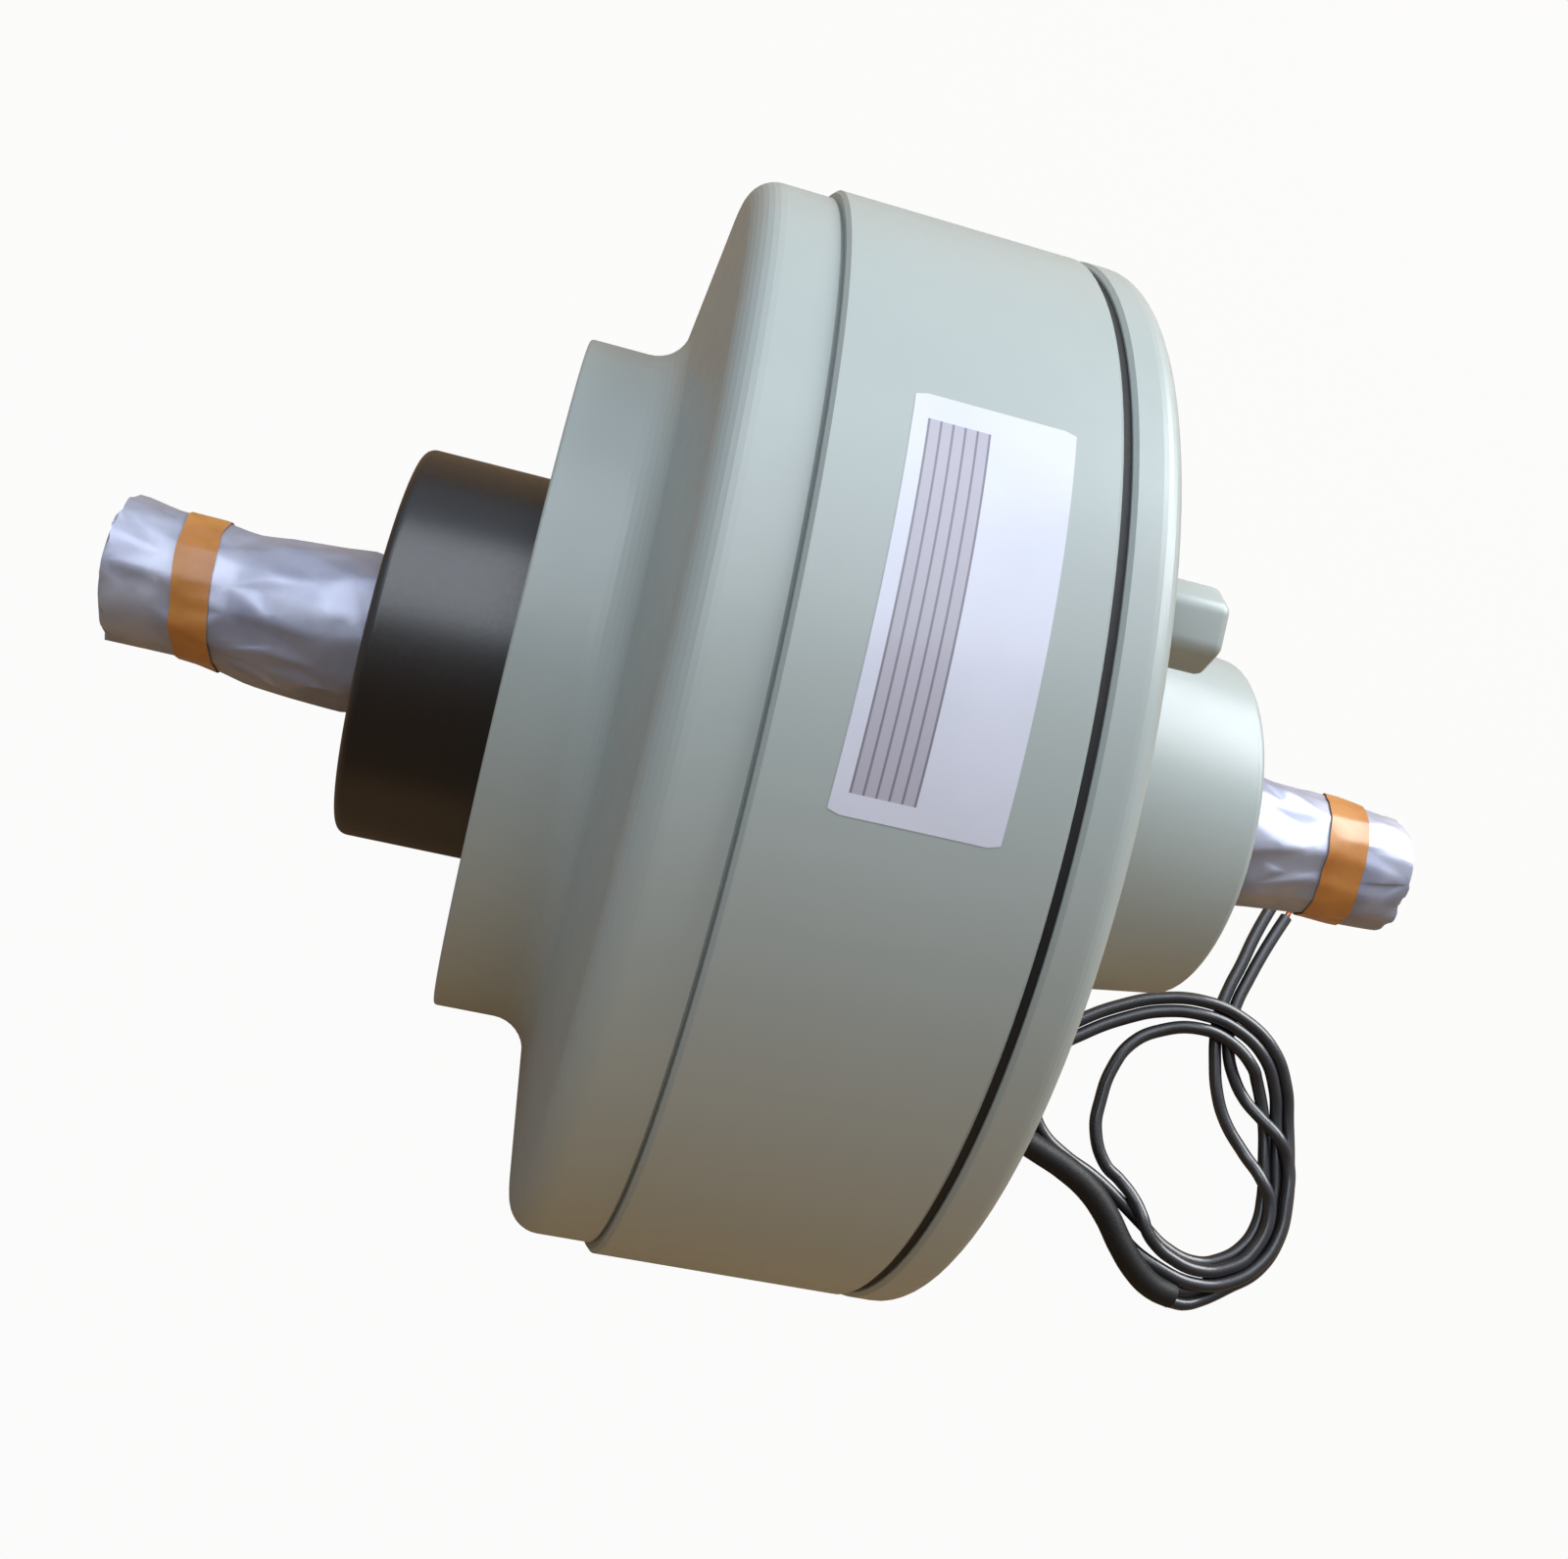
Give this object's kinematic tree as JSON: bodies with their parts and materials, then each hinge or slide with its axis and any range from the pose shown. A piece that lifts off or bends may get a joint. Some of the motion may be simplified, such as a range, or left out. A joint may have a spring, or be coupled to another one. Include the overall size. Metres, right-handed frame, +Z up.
{
  "type": "magnetic-particle clutch",
  "caption": "Round two-shaft magnetic-particle clutch with a stepped housing, bearing nose, field coil, wrapped shaft ends and a loose pair of leads.",
  "frame": {"origin": "on the surface that the clutch lies on, under the middle of its length", "axes": "+X along the shafts from the input end to the output end, +Z up, +Y to the side away from the loose leads"},
  "size_m": [0.2732, 0.182, 0.182],
  "materials": {
    "housing_paint": "satin pale green-grey enamel",
    "black_oxide": "black-oxidised turned steel",
    "soft_iron": "turned soft iron",
    "steel": "ground steel",
    "black_steel": "blackened screw steel",
    "copper_wire": "enamelled copper winding",
    "bobbin_plastic": "moulded bobbin",
    "rubber": "black rubber",
    "black_sleeve": "black soft sleeve",
    "lead_insulation": "black lead insulation",
    "iron_powder": "loose magnetic powder",
    "foil": "crumpled silver protective film",
    "orange_tape": "orange binding tape",
    "label": "blank adhesive label, grey ruled band",
    "bare_copper": "bare strands of the leads"
  },
  "bodies": {
    "housing": {"front_bracket": "housing_paint", "bearing_nose": "black_oxide", "yoke": "housing_paint", "pole_ring": "soft_iron", "rear_bracket": "housing_paint", "seam_ring": "rubber", "coil_bobbin": "bobbin_plastic", "coil_winding": "copper_wire", "tie_bolts": "black_steel", "nose_screws": "black_steel", "input_bearing_outers": "steel", "output_bearing_outers": "steel", "input_seal": "rubber", "output_seal": "rubber", "nose_clip": "steel", "rear_clip": "steel", "filler_plug": "housing_paint", "plug_washer": "rubber", "lead_grommet": "rubber", "lead_sleeve": "black_sleeve", "lead_coil": "lead_insulation", "lead_tail_a": "lead_insulation", "lead_tail_b": "lead_insulation"},
    "input_side": {"input_shaft": "steel", "input_bearing_inners": "steel", "input_bearing_balls": "steel", "input_spacer": "steel", "input_shaft_clip": "steel", "drive_cylinder": "soft_iron", "drive_end_plate": "soft_iron", "drive_screws": "black_steel", "powder_ring": "iron_powder", "pilot_outer": "steel", "input_foil": "foil", "input_tape": "orange_tape"},
    "output_side": {"output_shaft": "steel", "output_bearing_inners": "steel", "output_bearing_balls": "steel", "output_spacer": "steel", "output_shaft_clip": "steel", "driven_rotor": "soft_iron", "rotor_key": "steel", "rotor_clip": "steel", "pilot_inner": "steel", "pilot_balls": "steel", "output_foil": "foil", "output_tape": "orange_tape"}
  },
  "joints": [
    {"name": "input_spin", "type": "hinge", "parent": "housing", "child": "input_side", "pos_m": [-0.06, 0, 0.091], "axis": [1, 0, 0], "continuous": true},
    {"name": "output_spin", "type": "hinge", "parent": "housing", "child": "output_side", "pos_m": [0.05, 0, 0.091], "axis": [1, 0, 0], "continuous": true}
  ]
}
